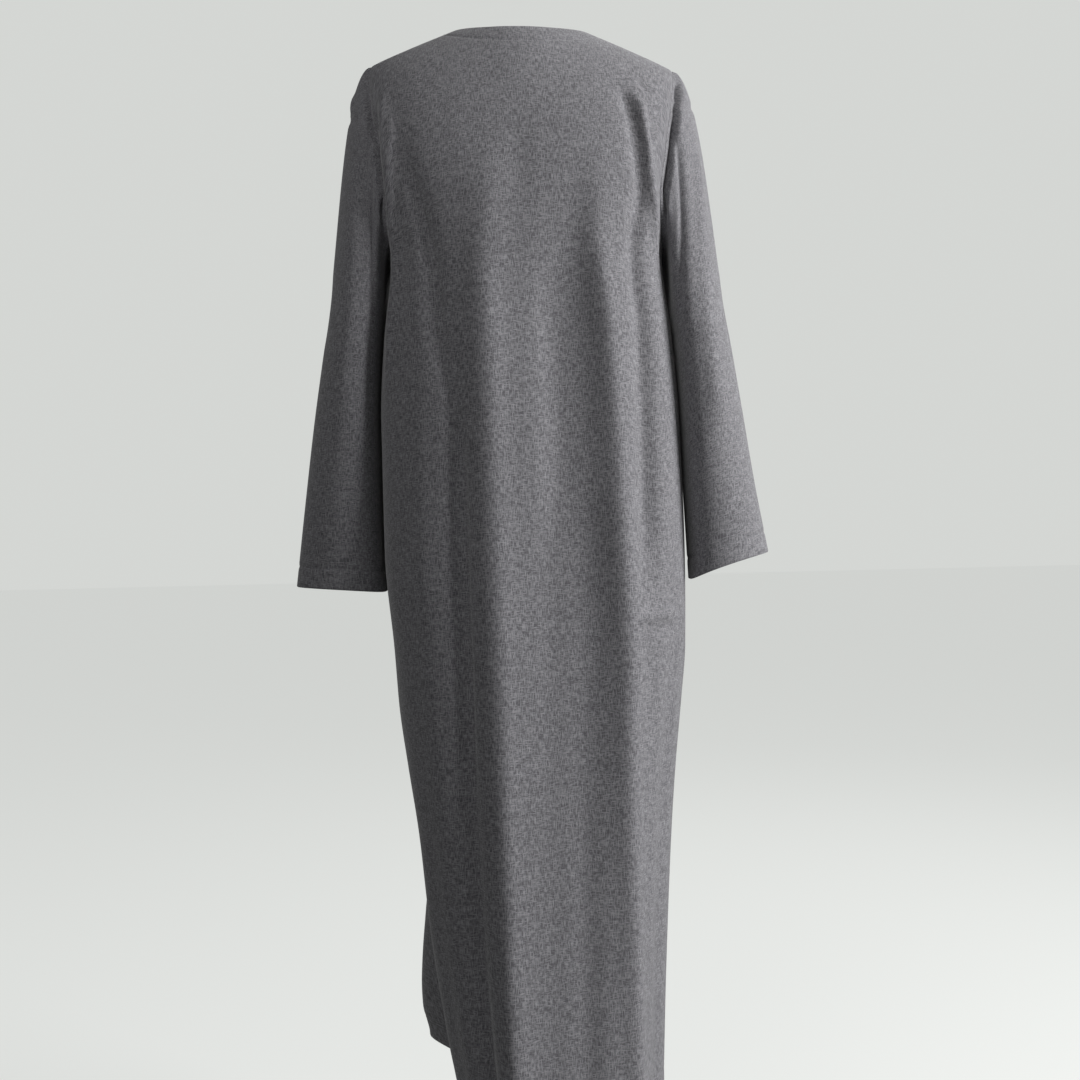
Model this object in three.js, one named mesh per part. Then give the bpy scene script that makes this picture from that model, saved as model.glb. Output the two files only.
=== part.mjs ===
// A plain long abaya as it hangs on the shoulders of a general adult figure.
// The wearer's left is +X, the front faces -Y, and up is +Z, in millimetres.
// The origin lies midway between the two points where the shoulder seams meet the neck.
// Four cut pieces make it: a back, a front and two set-in sleeves, each a thin wall of cloth.

import * as THREE from "three";
import { mergeVertices } from "three/addons/utils/BufferGeometryUtils.js";

// Driving dimensions
const CLOTH = 1.6; // thickness of the wall
const SEAM = 0.3; // gap between two pieces at a seam
const UNDERARM_Z = -302; // height of the underarm point
const HEM_Z = -1350; // height of the skirt's hem
const SHOULDER_Z = -44; // height of the shoulder point
const SHOULDER_X = 195; // from the middle to the shoulder point
const NECK_X = 92; // from the middle to the side of the neck opening
const SHOULDER_SLOPE = 0.411; // rise of the shoulder seam for each unit of its run
const SHOULDER_TILT = 0.038; // how much higher the left side hangs, for each unit from the middle
const BACK_NECK_Z = -13; // height of the neck edge at the middle of the back
const FRONT_NECK_Z = -108; // height of the neck edge at the middle of the front
const SLEEVE_SQUARE = 2.2; // exponent of the sleeves' sections
const SLEEVE_LEAN = 14; // how far the back of those sections leans in towards the body
const CAP_BEND = 2.2; // how late the back and front turn in towards the shoulder
const BICEPS_Z = -400; // height where the sleeve head ends and the plain tube starts
const HEAD_DROOP = 0.35; // how far the sleeve head falls as it leaves the armhole, for each unit out
const HEAD_EASE = 0.35; // how much of the body's own direction it keeps there
const UNDERARM_REACH = 40; // pull of its first stretch at the underarm
const SHOULDER_REACH = 120; // and at the shoulder
const ARM_SPREAD = 0.18; // how far the arm leans out for each unit down

// Steps of the grids
const BACK_COLUMNS = 36;
const FRONT_COLUMNS = 44;
const YOKE_ROWS = 12; // from the underarm to the shoulder
const SKIRT_ROWS = 18; // from the underarm to the hem
const HEAD_RINGS = 9; // from the armhole to the biceps
const TUBE_RINGS = 9; // from the biceps to the cuff
const COLUMNS_TO_NECK = 0.33; // share of the columns between the armhole and the neck
const SPREAD_SHARE = 0.14; // share of the columns that spread from a side seam or armhole
const SPREAD_ANGLE = 46; // up to this angle
const UNDERARM_CROWDING = 1.4; // how much closer the yoke's rows lie at the underarm
const HEAD_CROWDING = 1.25; // how much closer the sleeve's rings lie at the armhole

const rad = THREE.MathUtils.degToRad;
const { clamp, lerp } = THREE.MathUtils;

// A table of rows with named columns. Each column becomes a smooth function of the first one,
// which leaves its two end rows level unless freeEnds is set.
function table(names, rows, freeEnds = false) {
  const keys = rows.map((row) => row[0]);
  const columns = {};
  names.slice(1).forEach((name, c) => {
    const values = rows.map((row) => row[c + 1]);
    columns[name] = (at) => smoothThrough(keys, values, at, freeEnds);
  });
  return columns;
}

// Cubic through the values, with slopes that never overshoot between two rows.
function smoothThrough(keys, values, at, freeEnds) {
  const last = keys.length - 1;
  const rising = keys[last] > keys[0];
  const x = rising ? clamp(at, keys[0], keys[last]) : clamp(at, keys[last], keys[0]);
  let i = 0;
  while (i < last - 1 && (rising ? x > keys[i + 1] : x < keys[i + 1])) i += 1;
  const slope = (k) => (values[k + 1] - values[k]) / (keys[k + 1] - keys[k]);
  const tangent = (k) => {
    if (k === 0 || k === last) return freeEnds ? slope(Math.min(k, last - 1)) : 0;
    const [before, after] = [slope(k - 1), slope(k)];
    return before * after > 0 ? (2 * before * after) / (before + after) : 0;
  };
  const span = keys[i + 1] - keys[i];
  return hermite(values[i], tangent(i) * span, values[i + 1], tangent(i + 1) * span, (x - keys[i]) / span);
}

function hermite(start, leave, end, arrive, t) {
  const t2 = t * t;
  const t3 = t2 * t;
  const toStart = 2 * t3 - 3 * t2 + 1;
  return start * toStart + leave * (t3 - 2 * t2 + t) + end * (1 - toStart) + arrive * (t3 - t2);
}

// Level sections of the body below the underarm: reach to each side, the back and the front, and
// the exponent of their outline, where 2 is an ellipse and more is squarer.
const SKIRT = table(["z", "left", "right", "back", "front", "square"], [
  [-302, 174, 174, 126, 121, 2.9],
  [-400, 185, 185, 127, 122, 2.75],
  [-500, 191, 192, 129, 124, 2.6],
  [-668, 190.5, 195.5, 134, 129, 2.5],
  [-790, 181, 193.5, 139, 135, 2.44],
  [-863, 176.5, 186.5, 142, 140, 2.4],
  [-940, 168, 178, 145, 145, 2.4],
  [-1019, 157, 171, 148, 150, 2.4],
  [-1138, 144, 163, 153, 160, 2.4],
  [-1267, 123.5, 156, 158, 170, 2.4],
  [-1350, 110, 153, 161, 175, 2.4],
]);

// Above the underarm, by share of the height up to the shoulder: the side reach of the sections
// and their exponent, which grows towards the shoulders.
const YOKE = table(["share", "side", "square"], [
  [0, 174, 2.9],
  [0.125, 178, 2.9],
  [0.34, 187, 3],
  [0.55, 194, 3.15],
  [0.75, 198, 3.4],
  [1, 200, 3.6],
]);

// The armholes: how far behind or before the middle the seam runs, as a share of the depth there.
const ARMHOLE = table(["share", "back", "front"], [
  [0, 0, 0],
  [0.03, 0.24, 0.27],
  [0.12, 0.47, 0.51],
  [0.34, 0.62, 0.67],
  [0.55, 0.62, 0.67],
  [0.75, 0.59, 0.63],
  [1, 0.5, 0.5],
], true);

// Folds run up and down the body. A fold goes from one angle and height to another, counted in
// degrees from the left side over the back. It swells and dies away over the lengths given.
const FOLDS = [
  // Back, from the left to the right
  { from: [46, -130], to: [67, -500], wide: 6, out: -6, swell: 120, fade: 110 },
  { from: [69.5, -400], to: [62, -1350], wide: 4.5, out: -9, swell: 160, fade: 0 },
  { from: [52, -380], to: [46, -1350], wide: 7, out: 4, swell: 300, fade: 0 },
  { from: [81, -150], to: [78, -1350], wide: 8, out: 9, swell: 250, fade: 0 },
  { from: [102, -150], to: [106, -1350], wide: 9, out: -9, swell: 250, fade: 0 },
  { from: [109, -150], to: [132, -1350], wide: 7, out: 10, swell: 220, fade: 0 },
  { from: [134, -180], to: [131, -760], wide: 6, out: -10, swell: 120, fade: 160 },
  { from: [149, -620], to: [152, -1350], wide: 6, out: -5, swell: 300, fade: 0 },
  // Left side, where the front cloth swings out past the back at the hem
  { from: [27, -760], to: [27, -1350], wide: 10, out: 6, swell: 500, fade: 0 },
  { from: [3, -850], to: [2, -1350], wide: 11, out: -24, swell: 450, fade: 0 },
  { from: [-36, -930], to: [-36, -1350], wide: 13, out: 84, swell: 420, fade: 0 },
  // Front of the skirt, which hangs in similar folds
  { from: [-58, -380], to: [-60, -1350], wide: 6, out: -12, swell: 300, fade: 0 },
  { from: [-77, -320], to: [-79, -1350], wide: 9, out: 9, swell: 420, fade: 0 },
  { from: [-97, -430], to: [-96, -1350], wide: 7, out: -10, swell: 350, fade: 0 },
  { from: [-117, -330], to: [-114, -1350], wide: 8, out: 10, swell: 400, fade: 0 },
  { from: [-134, -520], to: [-133, -1350], wide: 6, out: -9, swell: 300, fade: 0 },
  { from: [-153, -560], to: [-151, -1350], wide: 10, out: 12, swell: 500, fade: 0 },
  { from: [-176, -800], to: [-174, -1350], wide: 8, out: -9, swell: 400, fade: 0 },
  // Back edge beside the left armhole with its gutter, and the drag lines of the right shoulder
  { from: [38, -70], to: [22, -500], wide: 4.5, out: 7, swell: 60, fade: 160 },
  { from: [29, -80], to: [12, -360], wide: 4, out: -5, swell: 60, fade: 120 },
  { from: [116, -85], to: [137, -260], wide: 4, out: -5, swell: 50, fade: 80 },
  { from: [124, -85], to: [157, -335], wide: 4, out: 4, swell: 50, fade: 90 },
  // Front edges beside the armholes
  { from: [-43, -90], to: [-44, -430], wide: 5, out: 6, swell: 80, fade: 180 },
  { from: [-139, -90], to: [-137, -400], wide: 5, out: 6, swell: 80, fade: 170 },
];

const easeIn = (x) => {
  const t = clamp(x, 0, 1);
  return t * t * (3 - 2 * t);
};

function foldHeight(angle, z) {
  let sum = 0;
  for (const fold of FOLDS) {
    const [[angle0, z0], [angle1, z1]] = [fold.from, fold.to];
    if (z > z0) continue;
    const grown = easeIn((z0 - z) / fold.swell);
    const left = fold.fade > 0 ? easeIn((z - z1) / fold.fade) : 1;
    const middle = lerp(angle0, angle1, clamp((z0 - z) / (z0 - z1), 0, 1));
    const turn = ((((angle - middle) % 360) + 540) % 360) - 180;
    sum += fold.out * grown * left * Math.exp(-((turn / fold.wide) ** 2));
  }
  return sum;
}

const power = (value, exponent) => Math.sign(value) * Math.abs(value) ** exponent;

const ridgeZ = (x) => SHOULDER_Z + SHOULDER_SLOPE * (SHOULDER_X - Math.abs(x)) + SHOULDER_TILT * x;

// Share of the height to the shoulder line at which the cloth ends, which is less at the neck.
function topShare(x, isBack) {
  const across = Math.abs(x) / NECK_X;
  if (across >= 1) return 1;
  const low = isBack ? BACK_NECK_Z : FRONT_NECK_Z;
  const bend = isBack ? 2 : 2.3;
  const side = Math.sign(x) * NECK_X;
  const neckZ = lerp(low, ridgeZ(side) - SHOULDER_TILT * side, across ** bend) + SHOULDER_TILT * x;
  return (neckZ - UNDERARM_Z) / (ridgeZ(x) - UNDERARM_Z);
}

const yokeLevel = (row) => (row / YOKE_ROWS) ** UNDERARM_CROWDING;
const yokeShare = (level) => 1 - (1 - level) ** 2;

// Point of the body's outside. The angle in degrees starts at the left side and grows over the
// back. Below the underarm the level is a height, and above it a step from 0 to 1 up the yoke.
function bodyPoint(angle, level) {
  const cosine = Math.cos(rad(angle));
  const sine = Math.sin(rad(angle));
  const isBack = sine >= 0;
  const isYoke = level > UNDERARM_Z;
  const exponent = 2 / (isYoke ? YOKE.square(yokeShare(level)) : SKIRT.square(level));
  const across = power(cosine, exponent);
  const along = power(sine, exponent);
  let [side, depth, z, shape] = [0, 0, level, 1];
  if (isYoke) {
    side = YOKE.side(yokeShare(level));
    const top = topShare(side * across, isBack);
    const height = yokeShare(level * (1 - Math.sqrt(1 - top)));
    z = lerp(UNDERARM_Z, ridgeZ(side * across), height);
    shape = Math.sqrt(1 - height ** CAP_BEND);
    depth = (isBack ? SKIRT.back(UNDERARM_Z) : SKIRT.front(UNDERARM_Z)) * shape;
  } else {
    side = cosine >= 0 ? SKIRT.left(z) : SKIRT.right(z);
    depth = isBack ? SKIRT.back(z) : SKIRT.front(z);
  }
  const out = foldHeight(angle, z) * shape;
  const facing = new THREE.Vector2(cosine / side, (sine * shape) / Math.max(depth, 1)).normalize();
  return new THREE.Vector3(side * across + out * facing.x, depth * along + out * facing.y, z);
}

// Unit direction that faces out of the body's surface, from small steps to both sides.
function bodyNormal(angle, level) {
  const turn = 0.25;
  const isYoke = level > UNDERARM_Z;
  const rise = isYoke ? 0.004 : 2;
  const low = isYoke ? Math.max(level - rise, 0) : level - rise;
  const high = Math.min(level + rise, isYoke ? 1 : UNDERARM_Z);
  const aside = bodyPoint(angle + turn, level).sub(bodyPoint(angle - turn, level));
  const up = bodyPoint(angle, high).sub(bodyPoint(angle, low));
  return aside.cross(up).normalize();
}

// Angle of the armhole seam on the left side at a step up the yoke, for the back or the front.
function armholeAngle(level, isBack) {
  const share = yokeShare(level);
  const depth = isBack ? ARMHOLE.back(share) : ARMHOLE.front(share);
  return THREE.MathUtils.radToDeg(Math.asin(depth ** (YOKE.square(share) / 2)));
}

// Angle at which the top of the yoke reaches a distance from the middle.
function topAngle(x) {
  const cosine = (Math.abs(x) / YOKE.side(1)) ** (YOKE.square(1) / 2);
  const angle = THREE.MathUtils.radToDeg(Math.acos(cosine));
  return x >= 0 ? angle : 180 - angle;
}

// Angle of one column of a panel, from 0 at its first side to 180. The first and last columns
// follow the side seams and armholes, a few beside them spread up to fixed ones, and at the top
// some columns share out the shoulder seams while the others go round the neck.
function columnAngle(column, columns, level, isBack) {
  const edge = level > 0 ? armholeAngle(level, isBack) : 0;
  const mirrored = Math.min(column, columns - column);
  const spread = Math.round(columns * SPREAD_SHARE);
  const plain =
    mirrored <= spread
      ? lerp(edge, SPREAD_ANGLE, mirrored / spread)
      : lerp(SPREAD_ANGLE, 90, (mirrored - spread) / (columns / 2 - spread));
  const toNeck = Math.round(columns * COLUMNS_TO_NECK);
  const round = (Math.PI * (mirrored - toNeck)) / (columns - 2 * toNeck);
  const top =
    mirrored <= toNeck
      ? lerp(armholeAngle(1, isBack), topAngle(NECK_X), mirrored / toNeck)
      : topAngle(NECK_X * Math.max(Math.cos(round), 0));
  const turn = mirrored === 0 ? edge : lerp(plain, top, level ** 2);
  return column === mirrored ? turn : 180 - turn;
}

// Closed wall between a grid of outer points and one of inner points, both [row][column].
// With ring set, the last column joins the first one.
function wallGeometry(outer, inner, ring) {
  const rows = outer.length;
  const columns = outer[0].length;
  const positions = [...outer.flat(), ...inner.flat()].flatMap((p) => [p.x, p.y, p.z]);
  const index = [];
  const outside = (r, c) => r * columns + (c % columns);
  const inside = (r, c) => rows * columns + outside(r, c);
  const steps = ring ? columns : columns - 1;
  const quad = (a, b, c, d, turned = false) => {
    if (turned) index.push(a, b, d, b, c, d);
    else index.push(a, b, c, a, c, d);
  };
  for (let c = 0; c < steps; c += 1) {
    for (let r = 0; r < rows - 1; r += 1) {
      const turned = c >= steps / 2;
      quad(outside(r, c), outside(r, c + 1), outside(r + 1, c + 1), outside(r + 1, c), turned);
      quad(inside(r, c + 1), inside(r, c), inside(r + 1, c), inside(r + 1, c + 1), !turned);
    }
    quad(inside(0, c), inside(0, c + 1), outside(0, c + 1), outside(0, c));
    quad(outside(rows - 1, c), outside(rows - 1, c + 1), inside(rows - 1, c + 1), inside(rows - 1, c));
  }
  if (!ring) {
    const end = columns - 1;
    for (let r = 0; r < rows - 1; r += 1) {
      quad(inside(r, 0), outside(r, 0), outside(r + 1, 0), inside(r + 1, 0));
      quad(outside(r, end), inside(r, end), inside(r + 1, end), outside(r + 1, end));
    }
  }
  const geometry = new THREE.BufferGeometry();
  geometry.setAttribute("position", new THREE.Float32BufferAttribute(positions, 3));
  geometry.setIndex(index);
  return mergeVertices(geometry, 1e-4);
}

// The back or the front, from the hem up to the shoulders. The back's columns run from the left
// side to the right, and the front's from the right side to the left, so both face outwards.
function panelGeometry(isBack, columns) {
  const outer = [];
  const inner = [];
  const addRow = (level) => {
    const isYoke = level > UNDERARM_Z;
    const outerRow = [];
    const innerRow = [];
    for (let c = 0; c <= columns; c += 1) {
      const turn = columnAngle(c, columns, isYoke ? level : 0, isBack);
      const angle = isBack ? turn : 180 + turn;
      const point = bodyPoint(angle, level);
      const normal = bodyNormal(angle, level);
      const isSideEdge = (c === 0 || c === columns) && (!isYoke || level === 0);
      const isShoulder = level === 1 && Math.abs(point.x) > NECK_X - 1;
      if (isSideEdge || isShoulder) point.y += (isBack ? SEAM : -SEAM) / 2;
      outerRow.push(point);
      innerRow.push(point.clone().addScaledVector(normal, -CLOTH));
    }
    outer.push(outerRow);
    inner.push(innerRow);
  };
  for (let r = 0; r < SKIRT_ROWS; r += 1) addRow(lerp(HEM_Z, UNDERARM_Z, r / SKIRT_ROWS));
  for (let r = 0; r <= YOKE_ROWS; r += 1) addRow(yokeLevel(r));
  return wallGeometry(outer, inner, false);
}

// Level sections of each sleeve's tube: reach from the body's middle on the inner and the outer
// side, reach to the back and the front, and how much higher the outer side of the ring lies.
const SLEEVES = {
  left: table(["z", "inner", "outer", "back", "front", "lift"], [
    [-400, 188, 262, 78, -78, 0],
    [-500, 194, 278, 73, -74, 2],
    [-600, 194.5, 292, 66, -70, 5],
    [-712, 192, 307, 56, -66, 9],
  ], true),
  right: table(["z", "inner", "outer", "back", "front", "lift"], [
    [-400, 188, 260, 78, -78, 2],
    [-500, 195, 274.5, 73, -74, 10],
    [-600, 199, 289, 66, -70, 20],
    [-693, 203, 305, 56, -66, 33],
  ], true),
};
const CUFF_Z = { left: -712, right: -693 };

// Point of a sleeve's outside at a turn from 0 to 1 that starts at the inner side, passes the back
// and then the outer side, as the armhole does. The sleeve is worked out on the left.
function tubePoint(sleeve, turn, z) {
  const angle = turn * 2 * Math.PI;
  const across = -power(Math.cos(angle), 2 / SLEEVE_SQUARE);
  const along = power(Math.sin(angle), 2 / SLEEVE_SQUARE);
  const middleX = (sleeve.inner(z) + sleeve.outer(z)) / 2;
  const middleY = (sleeve.back(z) + sleeve.front(z)) / 2;
  const halfX = (sleeve.outer(z) - sleeve.inner(z)) / 2;
  const halfY = (sleeve.back(z) - sleeve.front(z)) / 2;
  const lifted = z + (sleeve.lift(z) * across) / 2;
  const lean = SLEEVE_LEAN * Math.max(along, 0) ** 2;
  return new THREE.Vector3(middleX + halfX * across - lean, middleY + halfY * along, lifted);
}

// Points, surface directions and outward directions around one armhole, in the order of a tube's
// turn: up the back from the underarm to the shoulder, then down the front.
function armholeLoop(isLeft) {
  const loop = [];
  for (let k = 0; k < 2 * YOKE_ROWS; k += 1) {
    const isBack = k < YOKE_ROWS;
    const level = yokeLevel(isBack ? k : 2 * YOKE_ROWS - k);
    const edge = armholeAngle(level, isBack);
    const sideAngle = isLeft ? edge : 180 - edge;
    const angle = isBack ? sideAngle : -sideAngle;
    loop.push({ point: bodyPoint(angle, level), normal: bodyNormal(angle, level) });
  }
  loop.forEach((station, k) => {
    const before = loop[(k + loop.length - 1) % loop.length].point;
    const after = loop[(k + 1) % loop.length].point;
    const along = after.clone().sub(before).normalize();
    station.away = along.cross(station.normal).normalize().multiplyScalar(isLeft ? -1 : 1);
  });
  return loop;
}

// Outer points of a sleeve, ring by ring: the head bends from the armhole to the biceps, and the
// tube goes on from there to the cuff.
function sleeveRings(isLeft, loop) {
  const side = isLeft ? 1 : -1;
  const sleeve = isLeft ? SLEEVES.left : SLEEVES.right;
  const count = loop.length;
  const mirrored = (point) => point.setX(point.x * side);
  const starts = loop.map((station) => station.point.clone().addScaledVector(station.away, SEAM));
  const rings = [starts];
  for (let r = 1; r <= HEAD_RINGS; r += 1) {
    const t = (r / HEAD_RINGS) ** HEAD_CROWDING;
    rings.push(starts.map((start, k) => {
      const end = mirrored(tubePoint(sleeve, k / count, BICEPS_Z));
      const nearTop = (1 - Math.cos((2 * Math.PI * k) / count)) / 2;
      const leave = new THREE.Vector3(side, 0, -HEAD_DROOP)
        .addScaledVector(loop[k].away, HEAD_EASE)
        .setLength(lerp(UNDERARM_REACH, SHOULDER_REACH, nearTop));
      const arrive = new THREE.Vector3(side * ARM_SPREAD, 0, -1).multiplyScalar(start.distanceTo(end));
      return new THREE.Vector3(
        hermite(start.x, leave.x, end.x, arrive.x, t),
        hermite(start.y, leave.y, end.y, arrive.y, t),
        hermite(start.z, leave.z, end.z, arrive.z, t),
      );
    }));
  }
  const cuff = isLeft ? CUFF_Z.left : CUFF_Z.right;
  for (let r = 1; r <= TUBE_RINGS; r += 1) {
    const z = lerp(BICEPS_Z, cuff, r / TUBE_RINGS);
    rings.push(loop.map((_, k) => mirrored(tubePoint(sleeve, k / count, z))));
  }
  return rings;
}

function sleeveGeometry(isLeft) {
  const side = isLeft ? 1 : -1;
  const loop = armholeLoop(isLeft);
  const count = loop.length;
  const rings = sleeveRings(isLeft, loop);
  const at = (r, k) => rings[clamp(r, 0, rings.length - 1)][(k + count) % count];
  const inner = rings.map((ring, r) => ring.map((point, k) => {
    if (r === 0) return point.clone().addScaledVector(loop[k].normal, -CLOTH);
    const around = at(r, k + 1).clone().sub(at(r, k - 1));
    const down = at(r + 1, k).clone().sub(at(r - 1, k));
    return point.clone().addScaledVector(around.cross(down).normalize(), -CLOTH * side);
  }));
  const ordered = (grid) => (isLeft ? grid : grid.map((ring) => [...ring].reverse()));
  return wallGeometry(ordered(rings), ordered(inner), true);
}

function cloth(name, geometry) {
  const material = new THREE.MeshStandardMaterial({ color: 0x6f6e73, roughness: 0.95, metalness: 0 });
  const mesh = new THREE.Mesh(geometry, material);
  mesh.name = name;
  return mesh;
}

const group = new THREE.Group();
group.add(cloth("back_panel", panelGeometry(true, BACK_COLUMNS)));
group.add(cloth("front_panel", panelGeometry(false, FRONT_COLUMNS)));
group.add(cloth("sleeve_left", sleeveGeometry(true)));
group.add(cloth("sleeve_right", sleeveGeometry(false)));

export default group;
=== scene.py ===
"""Looks of a plain long abaya in its worn form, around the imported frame.

Every panel is worked out again on a finer grid from the same level sections as its solid, and gets
its small creases, turned edges, stitches and a heathered plain weave. Sizes are in millimetres
until a mesh is made, which is in metres. The wearer's left is +X, the front faces -Y.
"""

import logging
import math
from dataclasses import dataclass, field
from enum import Enum

import bpy
import numpy as np
from mathutils import Matrix, Vector


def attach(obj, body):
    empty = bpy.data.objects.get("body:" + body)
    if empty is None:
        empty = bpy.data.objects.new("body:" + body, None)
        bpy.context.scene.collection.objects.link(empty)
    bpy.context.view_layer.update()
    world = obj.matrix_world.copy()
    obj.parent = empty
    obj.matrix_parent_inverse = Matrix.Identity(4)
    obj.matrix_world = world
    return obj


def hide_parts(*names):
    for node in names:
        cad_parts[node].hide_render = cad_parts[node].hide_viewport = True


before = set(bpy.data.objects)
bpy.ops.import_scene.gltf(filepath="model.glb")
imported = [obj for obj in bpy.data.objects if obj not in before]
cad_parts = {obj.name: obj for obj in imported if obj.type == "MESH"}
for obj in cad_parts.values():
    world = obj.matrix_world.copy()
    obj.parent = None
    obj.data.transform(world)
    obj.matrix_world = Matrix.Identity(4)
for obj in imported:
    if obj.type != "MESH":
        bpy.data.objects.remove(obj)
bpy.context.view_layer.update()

LOG = logging.getLogger("abaya")
METRES = 0.001  # metres in a millimetre
BODY = "root"

Array = np.ndarray


class Side(Enum):
    """The wearer's side that a sleeve is on, with the sign of its X."""

    LEFT = 1
    RIGHT = -1


class Face(Enum):
    """The cut panel of the body, with the sign of its Y."""

    BACK = 1
    FRONT = -1


def ease(share: Array) -> Array:
    """Level start and end between 0 and 1."""
    t = np.clip(share, 0.0, 1.0)
    return t * t * (3.0 - 2.0 * t)


def blend(start: Array, end: Array, share: Array) -> Array:
    """Straight mix of two values."""
    return start + (end - start) * share


def signed_power(value: Array, exponent: Array) -> Array:
    """A power that keeps the sign of its base."""
    return np.sign(value) * np.abs(value) ** exponent


def hermite(start: Array, leave: Array, end: Array, arrive: Array, t: Array) -> Array:
    """Cubic from start to end with the given directions at both."""
    t2, t3 = t * t, t * t * t
    to_start = 2.0 * t3 - 3.0 * t2 + 1.0
    return start * to_start + leave * (t3 - 2.0 * t2 + t) + end * (1.0 - to_start) + arrive * (t3 - t2)


class Curve:
    """A smooth function through a few values, with slopes that never overshoot between two."""

    def __init__(self, keys: list[float], values: list[float], free_ends: bool = False) -> None:
        """Keeps the values in rising order of their keys.

        Args:
            keys: where the values hold, rising or falling
            values: the values there
            free_ends: whether the ends keep their slope rather than run out level
        """
        order = np.argsort(keys)
        self.keys = np.asarray(keys, float)[order]
        self.values = np.asarray(values, float)[order]
        slopes = np.diff(self.values) / np.diff(self.keys)
        self.tangents = np.zeros(len(self.keys))
        before, after = slopes[:-1], slopes[1:]
        same = before * after > 0
        sums = np.where(same, before + after, 1.0)
        self.tangents[1:-1] = np.where(same, 2.0 * before * after / sums, 0.0)
        if free_ends:
            self.tangents[0], self.tangents[-1] = slopes[0], slopes[-1]

    def __call__(self, at: Array) -> Array:
        """The value at each place, held past the ends."""
        x = np.clip(at, self.keys[0], self.keys[-1])
        i = np.clip(np.searchsorted(self.keys, x, side="right") - 1, 0, len(self.keys) - 2)
        span = self.keys[i + 1] - self.keys[i]
        t = (x - self.keys[i]) / span
        leave, arrive = self.tangents[i] * span, self.tangents[i + 1] * span
        return hermite(self.values[i], leave, self.values[i + 1], arrive, t)


def columns(names: list[str], rows: list[list[float]], free_ends: bool = False) -> dict[str, Curve]:
    """Smooth functions of the first column of a table.

    Args:
        names: the columns' names, the key's first
        rows: the table's rows
        free_ends: whether the functions keep their slope at both ends
    Returns:
        one function for each column but the first
    """
    keys = [row[0] for row in rows]
    return {name: Curve(keys, [row[i + 1] for row in rows], free_ends) for i, name in enumerate(names[1:])}


@dataclass(frozen=True)
class Cut:
    """Driving sizes of the garment, in millimetres."""

    underarm_z: float = -302.0
    hem_z: float = -1350.0
    shoulder_z: float = -44.0
    shoulder_x: float = 195.0
    neck_x: float = 92.0
    shoulder_slope: float = 0.411
    shoulder_tilt: float = 0.038
    middle_round: float = 30.0
    back_neck_z: float = -13.0
    front_neck_z: float = -108.0
    cap_bend: float = 2.2
    sleeve_square: float = 2.2
    sleeve_lean: float = 14.0
    biceps_z: float = -400.0
    head_droop: float = 0.35
    head_ease: float = 0.35
    underarm_reach: float = 40.0
    shoulder_reach: float = 120.0
    arm_spread: float = 0.18
    seam: float = 0.3
    left_cuff_z: float = -712.0
    right_cuff_z: float = -693.0


CUT = Cut()

# Level sections below the underarm: reach to each side, the back and the front, and the exponent
SKIRT = columns(["z", "left", "right", "back", "front", "square"], [
    [-302, 174, 174, 126, 121, 2.9],
    [-400, 185, 185, 127, 122, 2.75],
    [-500, 191, 192, 129, 124, 2.6],
    [-668, 190.5, 195.5, 134, 129, 2.5],
    [-790, 181, 193.5, 139, 135, 2.44],
    [-863, 176.5, 186.5, 142, 140, 2.4],
    [-940, 168, 178, 145, 145, 2.4],
    [-1019, 157, 171, 148, 150, 2.4],
    [-1138, 144, 163, 153, 160, 2.4],
    [-1267, 123.5, 156, 158, 170, 2.4],
    [-1350, 110, 153, 161, 175, 2.4],
])

# Above the underarm, by share of the height up to the shoulder
YOKE = columns(["share", "side", "square"], [
    [0, 174, 2.9],
    [0.125, 178, 2.9],
    [0.34, 187, 3],
    [0.55, 194, 3.15],
    [0.75, 198, 3.4],
    [1, 200, 3.6],
])

# How far behind or before the middle the armhole runs, as a share of the depth there
ARMHOLE = columns(["share", "back", "front"], [
    [0, 0, 0],
    [0.03, 0.24, 0.27],
    [0.12, 0.47, 0.51],
    [0.34, 0.62, 0.67],
    [0.55, 0.62, 0.67],
    [0.75, 0.59, 0.63],
    [1, 0.5, 0.5],
], free_ends=True)

# Level sections of each sleeve's tube, and how much higher the outer side of each ring lies
SLEEVE_NAMES = ["z", "inner", "outer", "back", "front", "lift"]
SLEEVES = {
    Side.LEFT: columns(SLEEVE_NAMES, [
        [-400, 188, 262, 78, -78, 0],
        [-500, 194, 278, 73, -74, 2],
        [-600, 194.5, 292, 66, -70, 5],
        [-712, 192, 307, 56, -66, 9],
    ], free_ends=True),
    Side.RIGHT: columns(SLEEVE_NAMES, [
        [-400, 188, 260, 78, -78, 2],
        [-500, 195, 274.5, 73, -74, 10],
        [-600, 199, 289, 66, -70, 20],
        [-693, 203, 305, 56, -66, 33],
    ], free_ends=True),
}


@dataclass(frozen=True)
class Fold:
    """A large fold that runs down the body, as in the solids.

    Args:
        start: its angle in degrees, counted from the left side over the back, and its height
        end: the same at its lower end
        wide: how far it spreads to both sides, in degrees
        out: how far it stands out, below zero for a trough
        swell: the length over which it grows
        fade: the length over which it dies away, or 0 where it runs out at the hem
    """

    start: tuple[float, float]
    end: tuple[float, float]
    wide: float
    out: float
    swell: float
    fade: float

    def height(self, angle: Array, z: Array) -> Array:
        """How far the fold lifts the cloth at each angle and height."""
        (angle0, z0), (angle1, z1) = self.start, self.end
        grown = ease((z0 - z) / self.swell)
        left = ease((z - z1) / self.fade) if self.fade > 0 else 1.0
        middle = blend(angle0, angle1, np.clip((z0 - z) / (z0 - z1), 0.0, 1.0))
        turn = (angle - middle + 180.0) % 360.0 - 180.0
        return self.out * grown * left * np.exp(-((turn / self.wide) ** 2))


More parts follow.
